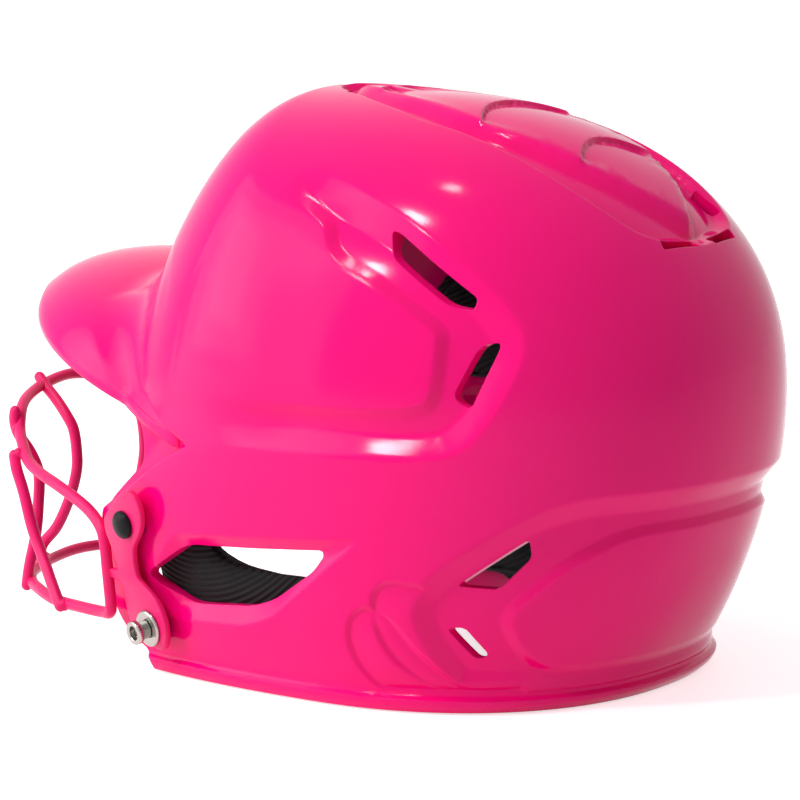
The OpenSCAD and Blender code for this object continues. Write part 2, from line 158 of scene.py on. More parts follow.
def easeIn(value, start, end):
    t = np.clip((value - start) / (end - start), 0, 1)
    return t * t * (3 - 2 * t)


# materials and the node groups that they share
def newGroup(name, inputs, outputs):
    group = bpy.data.node_groups.new(name, "ShaderNodeTree")
    for socket, kind, value in inputs:
        made = group.interface.new_socket(name=socket, in_out="INPUT", socket_type=kind)
        if value is not None:
            made.default_value = value
    for socket, kind in outputs:
        group.interface.new_socket(name=socket, in_out="OUTPUT", socket_type=kind)
    return group, group.nodes.new("NodeGroupInput"), group.nodes.new("NodeGroupOutput")


def feed(tree, node, inputs):
    # values for a node's sockets, or links where the value is a socket of another node
    for key, value in inputs.items():
        if isinstance(value, bpy.types.NodeSocket):
            tree.links.new(value, node.inputs[key])
        else:
            node.inputs[key].default_value = value


def addNode(tree, kind, inputs=None, **settings):
    node = tree.nodes.new(kind)
    for key, value in settings.items():
        setattr(node, key, value)
    feed(tree, node, inputs or {})
    return node


def noise(tree, vector, scale, detail):
    return addNode(tree, "ShaderNodeTexNoise", {"Vector": vector, "Scale": scale, "Detail": detail}).outputs["Fac"]


def maths(tree, operation, *values):
    return addNode(tree, "ShaderNodeMath", dict(enumerate(values)), operation=operation).outputs[0]


def remap(tree, value, fromMin, fromMax, toMin=0.0, toMax=1.0):
    inputs = {"Value": value, "From Min": fromMin, "From Max": fromMax, "To Min": toMin, "To Max": toMax}
    return addNode(tree, "ShaderNodeMapRange", inputs).outputs["Result"]


def colorRamp(tree, factor, low, high):
    ramp = addNode(tree, "ShaderNodeValToRGB", {"Fac": factor})
    ramp.color_ramp.elements[0].color = low
    ramp.color_ramp.elements[1].color = high
    return ramp.outputs["Color"]


def mixColors(tree, factor, first, second, blend="MIX"):
    # a colour Mix has its factor and colours in sockets 0, 6 and 7
    inputs = {0: factor, 6: first, 7: second}
    return addNode(tree, "ShaderNodeMix", inputs, data_type="RGBA", blend_type=blend).outputs[2]


def buildDustGroup():
    # faint dust and handling marks: a roughness and a tint that vary over the surface
    group, inputs, outputs = newGroup(
        "dustAndMarks",
        [("Roughness", "NodeSocketFloat", 0.2), ("Spread", "NodeSocketFloat", 0.06),
         ("Color", "NodeSocketColor", (1, 1, 1, 1)), ("Dark", "NodeSocketColor", (1, 1, 1, 1))],
        [("Roughness", "NodeSocketFloat"), ("Color", "NodeSocketColor"), ("Height", "NodeSocketFloat")])
    place = addNode(group, "ShaderNodeTexCoord").outputs["Object"]
    clouds = noise(group, place, 9.0, 4.0)
    specks = remap(group, noise(group, place, 420.0, 3.0), 0.62, 0.75)
    stretch = addNode(group, "ShaderNodeMapping", {"Vector": place, "Rotation": (0.4, 0.2, 0.9),
                                                   "Scale": (30.0, 900.0, 700.0)})
    scratches = remap(group, noise(group, stretch.outputs["Vector"], 1.0, 2.0), 0.72, 0.78)
    marks = maths(group, "MAXIMUM", specks, scratches)
    cloudRough = maths(group, "MULTIPLY_ADD", maths(group, "SUBTRACT", clouds, 0.5), inputs.outputs["Spread"],
                       inputs.outputs["Roughness"])
    rough = maths(group, "MULTIPLY_ADD", marks, inputs.outputs["Spread"], cloudRough)
    tint = mixColors(group, clouds, inputs.outputs["Color"], inputs.outputs["Dark"])
    feed(group, outputs, {"Roughness": rough, "Color": tint, "Height": marks})
    return group


def buildRippleGroup():
    # the slight waviness of moulded plastic or of a powder coat, as a normal
    group, inputs, outputs = newGroup(
        "coatRipple",
        [("Scale", "NodeSocketFloat", 60.0), ("Strength", "NodeSocketFloat", 0.1),
         ("Distance", "NodeSocketFloat", 0.0004), ("Marks", "NodeSocketFloat", 0.0)],
        [("Normal", "NodeSocketVector")])
    place = addNode(group, "ShaderNodeTexCoord").outputs["Object"]
    wide = noise(group, place, inputs.outputs["Scale"], 2.0)
    height = maths(group, "MULTIPLY_ADD", inputs.outputs["Marks"], -0.1, wide)
    soft = addNode(group, "ShaderNodeBevel", {"Radius": 0.0007}, samples=4)
    bump = addNode(group, "ShaderNodeBump", {"Height": height, "Strength": inputs.outputs["Strength"],
                                             "Distance": inputs.outputs["Distance"], "Normal": soft.outputs["Normal"]})
    feed(group, outputs, {"Normal": bump.outputs["Normal"]})
    return group


dustGroup = buildDustGroup()
rippleGroup = buildRippleGroup()


def newMaterial(name):
    material = bpy.data.materials.new(name)
    material.use_nodes = True
    return material, material.node_tree, material.node_tree.nodes["Principled BSDF"]


def coatedMaterial(name, look):
    # a smooth coloured surface with dust, marks and a slight ripple
    material, tree, shader = newMaterial(name)
    socketValues = {socket: look[socket.lower()] for socket in ("Roughness", "Spread", "Color", "Dark")}
    dust = addNode(tree, "ShaderNodeGroup", socketValues, node_tree=dustGroup).outputs
    socketValues = {"Marks": dust["Height"], "Scale": look["rippleScale"], "Strength": look["ripple"],
                    "Distance": look["rippleDepth"]}
    ripple = addNode(tree, "ShaderNodeGroup", socketValues, node_tree=rippleGroup)
    feed(tree, shader, {"Base Color": dust["Color"], "Roughness": dust["Roughness"],
                        "Normal": ripple.outputs["Normal"], "Metallic": look.get("metallic", 0.0),
                        "Specular IOR Level": look.get("specular", 0.3)})
    return material


shellLook = {
    "color": (1.0, 0.0015, 0.205, 1), "dark": (0.93, 0.001, 0.185, 1), "roughness": 0.12, "spread": 0.05,
    "rippleScale": 45.0, "ripple": 0.06, "rippleDepth": 0.0003, "specular": 0.14,
}
guardLook = {
    "color": (0.9, 0.012, 0.17, 1), "dark": (0.82, 0.01, 0.15, 1), "roughness": 0.34, "spread": 0.08,
    "rippleScale": 700.0, "ripple": 0.12, "rippleDepth": 0.0002, "specular": 0.2,
}
screwLook = {
    "color": (0.006, 0.006, 0.007, 1), "dark": (0.012, 0.012, 0.013, 1), "roughness": 0.28, "spread": 0.1,
    "rippleScale": 900.0, "ripple": 0.1, "rippleDepth": 0.0001, "specular": 0.1,
}
chromeLook = {
    "color": (0.46, 0.445, 0.42, 1), "dark": (0.34, 0.33, 0.31, 1), "roughness": 0.16, "spread": 0.12,
    "rippleScale": 1200.0, "ripple": 0.08, "rippleDepth": 0.0001, "metallic": 1.0,
}
nutLook = {
    "color": (0.5, 0.5, 0.5, 1), "dark": (0.38, 0.38, 0.38, 1), "roughness": 0.36, "spread": 0.12,
    "rippleScale": 1500.0, "ripple": 0.15, "rippleDepth": 0.0001, "metallic": 1.0,
}
rubberLook = {
    "color": (0.012, 0.012, 0.012, 1), "dark": (0.02, 0.02, 0.02, 1), "roughness": 0.75, "spread": 0.1,
    "rippleScale": 900.0, "ripple": 0.2, "rippleDepth": 0.0002,
}
shellMaterial = coatedMaterial("pinkShell", shellLook)
guardMaterial = coatedMaterial("pinkGuard", guardLook)
screwMaterial = coatedMaterial("blackScrew", screwLook)
chromeMaterial = coatedMaterial("studMetal", chromeLook)
nutMaterial = coatedMaterial("nutSteel", nutLook)
rubberMaterial = coatedMaterial("spacerRubber", rubberLook)
print("materials ready")

# the shell
shellSize = {
    "halfWidth": 100.0, "frontLength": 115.0, "rearLength": 122.0, "beltHeight": 99.0, "crownHeight": 103.0,
    "crownLean": -42.0, "jawReach": 35.0, "wall": 3.6, "relief": 4.5, "bulgeRise": 2.3, "panelRise": 2.2,
    "templeDrop": 2.6, "stepDrop": 1.5, "stepHold": 1.15, "stepLength": 9.0, "scaleStep": 1.6, "scaleBevel": 1.2,
    "scaleInset": 1.0, "lipHeight": 5.0, "lipOut": 2.5, "lipLap": 1.2, "lipSlope": 2.6, "lipUnder": 0.72,
    "lipFoot": 1.4, "crownLevel": 135.0, "innerLevel": 132.0, "innerMargin": 5.0, "innerBevel": 6.0,
    "leafMargin": 2.0,
}
# the powers of the dome's curves, and how far it draws in from the belt down to the rim
domeShape = {"plan": 2.25, "side": 2.3, "front": 1.33, "rear": 3.3, "sideTaper": 0.14, "rearTaper": 0.27,
             "jawFull": 0.4}
# where the scoop and the bulge begin and are full, and how their upper edge begins later
fadeIn = {"from": -34.0, "to": 8.0, "least": 0.1, "lateFrom": 150.0, "lateTo": 172.0, "lateBy": 16.0,
          "lateLess": 0.08, "innerFrom": -30.0, "innerTo": 14.0}
# how wide the slope along each outline is
bevels = {
    "scoop": 9.0, "temple": 2.2, "bulge": 5.0, "stepFront": 1.8, "stepRear": 1.8, "ear": 8.0, "lowRear": 8.5,
    "panel": 3.5, "recess": 3.0, "leaf": 6.0,
}


def bothSides(half):
    # an outline from its right half, which starts and ends on the middle line
    return half + [(-x, y) for x, y in half[-2:0:-1]]


# side view outlines, as distance back from the dome's centre and height
sideLines = {
    "scoop": roundedOutline([(-12, 178), (-2, 179), (16, 173), (34, 166), (45, 160), (60, 151), (74, 140), (82, 130),
                             (83, 121), (79, 109), (74, 99), (68, 91.5), (62, 88), (48, 86), (24, 86), (-8, 86),
                             (-41, 83.5), (-60, 90), (-54, 140), (-30, 178)], 9),
    "temple": roundedOutline([(-40, 84), (-52, 78), (-64, 70.5), (-74, 64), (-92, 54), (-130, 54), (-130, 99),
                              (-80, 99), (-60, 92)], 3),
    "bulge": roundedOutline([(-70, 190), (-14, 178), (-6, 173), (11, 165), (15, 157), (21, 153), (33, 148), (49, 139),
                             (58, 133), (61, 129), (61, 115), (60, 107), (57, 102), (48, 99), (24, 98), (-70, 96)], 4),
    "ear": roundedOutline([(-50, 53), (-16, 56), (33, 60), (10, 41), (-8, 27), (-21, 22), (-43, 21), (-57, 20),
                           (-66, 33)], 6),
    "lowRear": roundedOutline([(150, 77), (98, 76), (85, 71), (70, 61), (54, 50), (47, 42), (45, 34), (47, 25),
                               (51, 16), (56, 7), (150, 7)], 7),
    "stepFront": roundedOutline([(23, 32), (21, 23), (24, 14), (31, 6), (62, 6), (48, 20), (38, 35), (29, 37)], 4),
    "stepRear": roundedOutline([(33, 42), (31, 31), (35, 20), (42, 12), (50, 6), (75, 6), (70, 40), (47, 46),
                                (38, 46)], 4),
    "panel": roundedOutline([(150, 64), (107, 64), (92, 54), (74, 37), (72, 31), (74, 21), (79, 12), (150, 11)], 6),
}
earHole = [(-65, 36), (-48, 47), (-42, 49), (-15, 51), (14, 53.5), (15, 51.5), (11, 46), (-7, 34), (-18, 30),
           (-47, 27), (-60, 32)]
upperVent = [(31.5, 160), (36, 158.5), (65.5, 139.5), (64, 135.5), (56, 136.5), (33, 151.5)]
middleVent = [(74.5, 126), (66.5, 103.5), (60.5, 107.5), (67.5, 124.5)]
rearSlots = [[(81, 61), (59, 44.5), (71, 43.5), (81, 54.5)], [(54, 29.5), (61, 18.5), (65, 20), (59.5, 30)]]
# each side opening with the distance from the middle where its cutter starts, and the radius of its corners
sideOpenings = [(earHole, 45, 5), (upperVent, 30, 3.5), (middleVent, 30, 3)] + [(slot, 30, 2) for slot in rearSlots]
cutterEnd = 130
faceGap = [(-260, 126), (-100, 126), (-90, 108), (-78, 91), (-70, 85), (-67, 79), (-67, 74), (-77, 66), (-86, 59),
           (-91, 54), (-91, 30), (-88, 18), (-80, 10), (-70, 6), (-64, -20), (-260, -20)]
# top view outlines, from the middle outwards
topLines = {
    "recess": roundedOutline(bothSides([(0, -46), (16, -34), (30, -10), (39, 15), (40, 45), (40, 60), (39, 73),
                                        (35, 88), (30, 97), (20, 103), (0, 106.5)]), 6),
    "leaf": roundedOutline(bothSides([(0, -40), (9, -31), (21, -5), (30.5, 25), (31.5, 44), (29, 56), (27, 67),
                                      (22, 79), (15, 90), (7, 98), (0, 103)]), 6),
}
crownSlots = [[(18, -27), (21, -28), (26, -16), (23, -15)], [(33, 8), (36.5, 7.5), (37.5, 20), (34.5, 20)],
              [(34, 52), (38, 51), (37, 66), (33.5, 66)], [(30, 81), (34.5, 81), (31.5, 93), (28, 92)],
              [(24, 101.5), (5, 104.5), (5, 99.5), (23, 96)]]
scaleArcs = [(-22, 0.012), (24, 0.012), (62, 0.016), (100, 0.016)]  # front edge at the middle, and its sweep back


def domePoints(angle, z, depth):
    s, shape = shellSize, domeShape
    crown = s["crownHeight"] - depth
    rise = np.clip((z - s["beltHeight"]) / crown, 0, 1)
    drop = np.clip((s["beltHeight"] - z) / s["beltHeight"], 0, None)
    jaw = s["jawReach"] * easeIn(drop, 0, shape["jawFull"])
    arc = lambda t, power: np.clip(1 - t ** power, 0, 1) ** (1 / power)
    a = (s["halfWidth"] - depth) * arc(rise, shape["side"]) * (1 - shape["sideTaper"] * drop ** 2)
    front = (s["frontLength"] - depth) * arc(rise, shape["front"]) + jaw
    rear = (s["rearLength"] - depth) * arc(rise, shape["rear"]) * (1 - shape["rearTaper"] * drop ** 2)
    a = np.maximum(a, 0.01)
    b = np.maximum(np.where(np.sin(angle) > 0, rear, front), 0.01)
    plan = shape["plan"]
    r = ((np.abs(np.cos(angle)) / a) ** plan + (np.abs(np.sin(angle)) / b) ** plan) ** (-1 / plan)
    return np.stack([r * np.cos(angle), r * np.sin(angle) + s["crownLean"] * rise ** 2, z], -1)


beltShare = 0.36  # share of the grid's rows that lie below the widest level


def gridBase(grid):
    # grid holds (turn 0 to 1, row 0 to 1); a row's height follows the dome so that cells stay square
    s = shellSize
    angle = -math.pi / 2 + math.pi * grid[:, 0]
    low = np.clip(grid[:, 1] / beltShare, 0, 1)
    high = np.clip((grid[:, 1] - beltShare) / (1 - beltShare), 0, 1)
    lift = np.sin(high * math.pi / 2)
    base = domePoints(angle, s["beltHeight"] * low + s["crownHeight"] * lift, np.zeros(len(grid)))
    return angle, low, lift, base


def gridPoints(grid, depthOf):
    s = shellSize
    angle, low, lift, base = gridBase(grid)
    depth = depthOf(base, angle)
    return domePoints(angle, s["beltHeight"] * low + (s["crownHeight"] - depth) * lift, depth)


def featureDistances(base):
    # how far inside each outline the points lie; the top view's outlines count only on the crown
    farOutside = -50.0
    side = np.stack([base[:, 1], base[:, 2]], -1)
    top = np.stack([base[:, 0], base[:, 1]], -1)
    out = {name: inwardDistance(line, side) for name, line in sideLines.items()}
    for name, line in topLines.items():
        out[name] = np.where(base[:, 2] > shellSize["crownLevel"], inwardDistance(line, top), farOutside)
    return out


def outerDepth(base, angle):
    # how deep the outer surface lies under the plain dome
    s, fade = shellSize, fadeIn
    x, y, z = base.T
    d = featureDistances(base)
    edge = {name: slope(d[name], width) for name, width in bevels.items()}
    late = easeIn(z, fade["lateFrom"], fade["lateTo"])
    least = fade["least"] - fade["lateLess"] * late
    behind = least + (1 - least) * easeIn(y - fade["lateBy"] * late, fade["from"], fade["to"])
    depth = s["relief"] * behind * edge["scoop"]
    depth = np.maximum(depth, s["templeDrop"] * edge["temple"])
    depth -= s["bulgeRise"] * behind * edge["bulge"] * easeIn(z, 90, 104)
    depth = np.maximum(depth, s["relief"] * edge["ear"])
    depth = np.maximum(depth, s["relief"] * edge["lowRear"] - s["panelRise"] * edge["panel"])
    for name in ("stepFront", "stepRear"):
        # a crescent: deepest at its edge, and level with the wall again further in
        depth = np.maximum(depth, s["stepDrop"] * edge[name] * np.clip(s["stepHold"] - d[name] / s["stepLength"], 0, 1))
    # the crown: a channel round a leaf of three overlapping scales
    channel = s["relief"] * edge["recess"] * (1 - slope(d["leaf"] + s["leafMargin"], bevels["leaf"]))
    scale = np.zeros(len(base))
    for (start, sweep), (end, nextSweep) in zip(scaleArcs, scaleArcs[1:]):
        front, back = start + sweep * x * x, end + nextSweep * x * x
        share = np.clip((y - front) / (back - front), 0, 1)
        scale += s["scaleStep"] * slope(y - front, s["scaleBevel"]) * (1 - share) * (y < back)
    scale *= slope(d["leaf"] - s["scaleInset"], bevels["leaf"])
    depth = np.maximum(depth, np.where(z > s["crownLevel"], channel + scale, 0))
    # the rolled lip along the bottom rim, wider at the rear and drawn in at its foot
    over = 1 - slope(z - s["lipHeight"] + s["lipLap"], s["lipSlope"], 0.4)
    foot = s["lipUnder"] + (1 - s["lipUnder"]) * slope(z, s["lipFoot"], 0.45)
    return depth - s["lipOut"] * (1 + np.maximum(0, np.sin(angle))) * over * foot


def innerDepth(base, angle):
    # the inner surface follows the large recesses a little outside their outlines, so that the wall keeps its thickness
    s = shellSize
    x, y, z = base.T
    d = featureDistances(base)
    edge = {name: slope(d[name] + s["innerMargin"], s["innerBevel"]) for name in bevels}
    behind = fadeIn["least"] + (1 - fadeIn["least"]) * easeIn(y, fadeIn["innerFrom"], fadeIn["innerTo"])
    depth = s["relief"] * behind * edge["scoop"]
    depth = np.maximum(depth, s["templeDrop"] * edge["temple"])
    depth = np.maximum(depth, s["relief"] * np.maximum(edge["ear"], edge["lowRear"]))
    depth = np.maximum(depth, np.where(z > s["innerLevel"], s["relief"] * edge["recess"], 0))
    return depth + s["wall"]


def halfDome(depthOf, columns, rows, lowest, refine):
    # a flat grid refined near the features, laid on half of the dome, mirrored and closed below
    bm = bmesh.new()
    bmesh.ops.create_grid(bm, x_segments=columns, y_segments=rows, size=0.5)
    bmesh.ops.translate(bm, vec=(0.5, 0.5, 0), verts=bm.verts)
    s = shellSize
    farAway = 1e9
    openingBack, openingTop = -96, 120  # inside the face opening, a little short of its edge
    edges = {**bevels, "leaf": -s["leafMargin"]}
    for reach in refine:
        faces = [f for f in bm.faces if len(f.verts) == 4]
        base = gridBase(np.array([f.calc_center_median()[:] for f in faces]))[-1]
        x, y, z = base.T
        d = featureDistances(base)
        near = np.abs(z - s["lipHeight"])
        for name, width in edges.items():
            near = np.minimum(near, np.minimum(np.abs(d[name]), np.abs(d[name] - width)))
        for start, sweep in scaleArcs[:3]:
            onLeaf = (d["leaf"] > -s["leafMargin"]) & (z > s["crownLevel"])
            near = np.minimum(near, np.where(onLeaf, np.abs(y - start - sweep * x ** 2), farAway))
        # nothing is refined where the face opening is cut away
        near[(y < openingBack) & (z < openingTop)] = farAway
        picked = [f for f, distance in zip(faces, near) if distance < reach]
        around = list({e for f in picked for e in f.edges})
        bmesh.ops.subdivide_edges(bm, edges=around, cuts=1, use_grid_fill=True)
    grid = np.array([v.co[:] for v in bm.verts])
    points = gridPoints(grid, depthOf)
    seam = np.minimum(grid[:, 0], 1 - grid[:, 0]) < 1e-5
    points[seam, 0] = 0.0
    points[grid[:, 1] > 1 - 1e-5, 0] = 0.0
    points[grid[:, 1] < 1e-5, 2] = lowest
    for v, p in zip(bm.verts, points):
        v.co = p
    bmesh.ops.remove_doubles(bm, verts=bm.verts, dist=0.002)
    bmesh.ops.mirror(bm, geom=bm.verts[:] + bm.edges[:] + bm.faces[:], axis="X", merge_dist=0.002)
    bmesh.ops.remove_doubles(bm, verts=[v for v in bm.verts if abs(v.co.x) < 0.01], dist=0.004)
    bmesh.ops.dissolve_degenerate(bm, dist=0.0005, edges=bm.edges)
    bmesh.ops.holes_fill(bm, edges=[e for e in bm.edges if e.is_boundary], sides=0)
    return bm


def sidePrism(outline, near, far, radius):
    # a cutter from the side view outline, for both sides unless it runs right through
    bm = bmesh.new()
    points = roundedOutline(outline, radius)
    for sign in (1, -1) if near > 0 else (1,):
        extrudeRing(bm, [bm.verts.new((sign * near, y, z)) for y, z in points], (sign * (far - near), 0, 0))
    return placeMesh(bm, "cutter", None)


def topPrism(outline, low, high, radius, lean=0.0):
    # a cutter from the top view outline, for both sides; lean tips it back about the height of the rear slots
    leanHeight = 151.5
    bm = bmesh.new()
    points = roundedOutline(outline, radius)
    for sign in (1, -1):
        ring = [bm.verts.new((sign * x, y + lean * (low - leanHeight), low)) for x, y in points]
        extrudeRing(bm, ring, (0, lean * (high - low), high - low))
    return placeMesh(bm, "cutter", None)


# begin, corner and climb hold the root fillet's start, its corner and its height, at the temples and at the forehead
brimSize = {
    "radius": 82.5, "centre": 79.5, "edgeHeight": 97.5, "arch": 29.5, "thick": 4.0, "crown": 24.0, "crownPower": 0.57,
    "rootTurn": 42.0, "rootAbove": 6.0, "rootRise": 30.0, "rootDepth": 1.2, "begin": (0.42, 0.84),
    "corner": (0.93, 0.985), "climb": (20.0, 6.0), "topDepth": 0.5, "innerDepth": 2.6,
    "pastEnds": 25.0, "proud": 3.5, "sinkFrom": 0.9, "sink": 5.0, "endClimb": 4.0, "sections": 116,
}
# the rounded edge, with a low band along it: place on the section, millimetres outwards and thicknesses down
brimNose = [(0.025, 0.5, 0), (0, 0.8, 0.1), (0, 1.0, 0.35), (0, 1.0, 0.75), (0, 0.5, 1.0), (0.03, 0, 1.04)]


def brimPath(degrees):
    # one section of the brim, from the middle of its edge over the top to its root and back below
    b = brimSize
    t = math.radians(degrees)
    lift = lambda power: max(0.0, math.sin(t)) ** power  # 0 at the ends and 1 in the middle
    past = min(1.0, max(0.0, -degrees, degrees - 180) / b["pastEnds"])
    y, z = -b["centre"] - b["radius"] * math.sin(t), b["edgeHeight"] + b["arch"] * math.sin(t)
    x = b["radius"] * math.cos(t)
    if past > 0:
        # beyond the brim's ends the edge runs back along the side wall and sinks into it
        turns = np.linspace(-1.2, 0.0, 61)
        wall = domePoints(turns, np.full(61, z), np.full(61, (past * 1.3 - 1) * b["proud"]))
        sunk = b["sink"] * max(0, past - b["sinkFrom"]) / (1 - b["sinkFrom"])
        x = math.copysign(float(np.interp(y, wall[:, 1], wall[:, 0])) - sunk, x)
    edge = np.array([x, y, z])
    turn = -math.radians(b["rootTurn"] + (90 - b["rootTurn"]) * degrees / 90)
    onDome = lambda height, depth: domePoints(np.array([turn]), np.array([height]), np.array([depth]))[0]
    rootHeight = b["edgeHeight"] + b["rootAbove"] + min(0, b["arch"] * math.sin(t)) + b["rootRise"] * lift(0.6)
    root = onDome(rootHeight, b["rootDepth"])

    def surface(s):
        swell = b["crown"] * s ** b["crownPower"] * (1 - s) * lift(0.5)
        return edge * (1 - s) + root * s + np.array([0, 0, swell])

    # the last stretch turns up along the dome: a tight fillet at the forehead, a wide one at the temples
    middle = lift(1.0) ** 2
    begin, corner, climb = (low + (high - low) * middle for low, high in (b["begin"], b["corner"], b["climb"]))
    climb -= (b["climb"][0] - b["endClimb"]) * past
    high = onDome(rootHeight + climb, b["topDepth"])
    top = [surface(s) for s in np.linspace(0.04, begin, 12)]
    top += [(1 - k) ** 2 * surface(begin) + 2 * k * (1 - k) * surface(corner) + k * k * high
            for k in np.linspace(0.1, 1, 10)]
    inner = onDome(rootHeight + climb, b["innerDepth"])
    down = np.array([0, 0, b["thick"]])
    under = [surface(s) - down for s in (1.0, 0.8, 0.6, 0.4, 0.2, 0.05)]
    outward = edge - root
    outward[2] = 0
    outward /= max(np.linalg.norm(outward), 1e-6)
    nose = [surface(s) + outward * out * (1 - past) - down * drop for s, out, drop in brimNose]
    return nose[:3][::-1] + top + [inner] + under + nose[3:][::-1]


def buildBrim():
    bm = bmesh.new()
    sweep = np.linspace(-brimSize["pastEnds"], 180 + brimSize["pastEnds"], brimSize["sections"])
    rings = [[bm.verts.new(p) for p in brimPath(degrees)] for degrees in sweep]
    stitchRings(bm, zip(rings, rings[1:]))
    bm.faces.new(rings[0])
    bm.faces.new(rings[-1])
    return placeMesh(bm, "brimTool", shellMaterial)


def buildShell():
    outer = halfDome(outerDepth, columns=58, rows=62, lowest=0.0, refine=(5.0, 2.2, 0.6))
    outer = placeMesh(outer, "helmetShell", shellMaterial)
    inner = halfDome(innerDepth, columns=40, rows=40, lowest=-8.0, refine=(7.0,))
    inner = placeMesh(inner, "cavity", shellMaterial)
    print("shell surfaces", len(outer.data.polygons), len(inner.data.polygons))
    combine(outer, [sidePrism(faceGap, near=-150, far=150, radius=5)], "DIFFERENCE")
    combine(outer, [buildBrim()], "UNION")
    combine(outer, [inner], "DIFFERENCE")
    tools = [sidePrism(outline, near, cutterEnd, radius) for outline, near, radius in sideOpenings]
    tools += [topPrism(slot, low=140, high=230, radius=1.5) for slot in crownSlots[:-1]]
    tools.append(topPrism(crownSlots[-1], low=132, high=200, radius=1.5, lean=1.0))
    combine(outer, tools, "DIFFERENCE")
    return outer


def softenBrimRoot(obj):
    # the sides of the brim flow into the dome without a crease; here all is in metres
    reach, passes = 0.018, 70
    filletPlaces = (20, 24)  # two points of each brim section, halfway up its fillet and at the top
    bm = bmesh.new()
    bm.from_mesh(obj.data)
    bm.normal_update()
    sections = [brimPath(degrees) for sweep in ((4, 62), (118, 176)) for degrees in np.linspace(*sweep, 24)]
    joint = [Vector(section[place]) for section in sections for place in filletPlaces]
    joint = [Vector((p.x, p.y + centreY, p.z)) / 1000 for p in joint]
    picked = []
    for v in bm.verts:
        # only the outer wall beside the forehead
        if v.co.y < -0.01 and 0.09 < v.co.z < 0.15 and abs(v.co.x) > 0.05:
            outward = Vector((v.co.x, v.co.y + 0.02, 0)).normalized()
            if v.normal.dot(outward) > 0.15 and min((v.co - p).length for p in joint) < reach:
                picked.append(v)
    for _ in range(passes):
        bmesh.ops.smooth_vert(bm, verts=picked, factor=0.5, use_axis_x=True, use_axis_y=True, use_axis_z=True)
    bm.to_mesh(obj.data)
    bm.free()


shell = buildShell()
softenBrimRoot(shell)
shell.data.set_sharp_from_angle(angle=math.radians(38))
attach(shell, "root")
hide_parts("shell")
print("shell built", len(shell.data.polygons))

# the guard
guardSize = {
    "wire": 2.1, "bead": 2.25, "plateAt": (86.516, -69.2, 35.6), "turn": -17.0, "lean": 9.0,
    "gap": 2.4, "thick": 2.2, "edge": 0.55, "wallTop": 4.6, "washer": 1.4,
    "screwAt": (0.8, 18.6), "studAt": (7.3, -18.1),
}
frameRoute = [(0, -175, 86.5), (16, -173.5, 84.8), (28, -170, 82.8), (38, -165, 80.8), (46, -159.5, 77.5),
              (52, -154.5, 72.5), (60.5, -145, 67.2), (66, -137.5, 64.2), (71.8, -126.8, 62.1), (76, -116.4, 60.1),
              (79.4, -104.6, 56.7), (81.9, -96.3, 53.6), (84.3, -89.9, 49.8), (85.6, -86.5, 44.8), (85.7, -85.1, 33.8),
              (85.2, -84.3, 22.8), (83.8, -85.9, 18.6), (81, -91.6, 17.6), (77.3, -104.8, 17.1), (71.5, -121.7, 16.7),
              (64.5, -135, 17.6), (55, -147.3, 17.8), (42, -158, 18), (21, -168, 18), (0, -171, 18.8)]
barRoutes = {
    "inner": [(16.6, -175.5, 87.2), (17.4, -171.5, 83.8), (18.4, -166, 79.8), (19.7, -159.8, 74.4), (20, -156, 69),
              (20, -154.6, 60), (20, -155, 53), (20.5, -158, 43), (21, -164, 31.5), (21.5, -171, 23.6),
              (21.5, -173, 15.8)],
    "middle": [(49.5, -159, 79.6), (50.3, -158.6, 76), (50.6, -156.6, 71.5), (50, -151, 64.5), (50, -147.5, 57),
               (51, -147.2, 45), (53, -147, 34.5), (55.6, -147.8, 24), (56.4, -148.6, 16.4)],
    "outer": [(63.2, -147.6, 66), (64.1, -145.8, 61), (64.8, -142, 53), (66.4, -136.8, 41), (69.2, -129, 30),
              (74.6, -119.5, 20.8), (76.6, -115, 16)],
}
plateOutline = [(-12.5, 14), (-12.5, 19), (-3, 27), (3, 31), (7, 31.5), (10, 29.5), (12, 26), (12, 21),
                (9.8, 16.5), (4, 10.5), (3, 5), (3.5, -0.7), (9.2, -4.1), (15, -8), (17.5, -14), (17.5, -19),
                (15.8, -23.8), (12.8, -25.7), (6.6, -25), (-0.5, -21), (-5.5, -16.5), (-6.7, -3.5),
                (-14, -3.3), (-14, 0.2), (-7.6, 0.4), (-8.5, 5)]


def smoothRoute(points, steps, closed=False):
    # a curve through all the points
    points = [Vector(p) for p in points]
    count = len(points)
    route = []
    for i in range(count if closed else count - 1):
        if closed:
            p = [points[(i + k) % count] for k in (-1, 0, 1, 2)]
        else:
            p = [points[min(max(i + k, 0), count - 1)] for k in (-1, 0, 1, 2)]
        for k in range(steps):
            t = k / steps
            route.append(0.5 * (2 * p[1] + (p[2] - p[0]) * t + (2 * p[0] - 5 * p[1] + 4 * p[2] - p[3]) * t * t
                                + (3 * p[1] - p[0] - 3 * p[2] + p[3]) * t ** 3))
    return route if closed else route + [points[-1]]


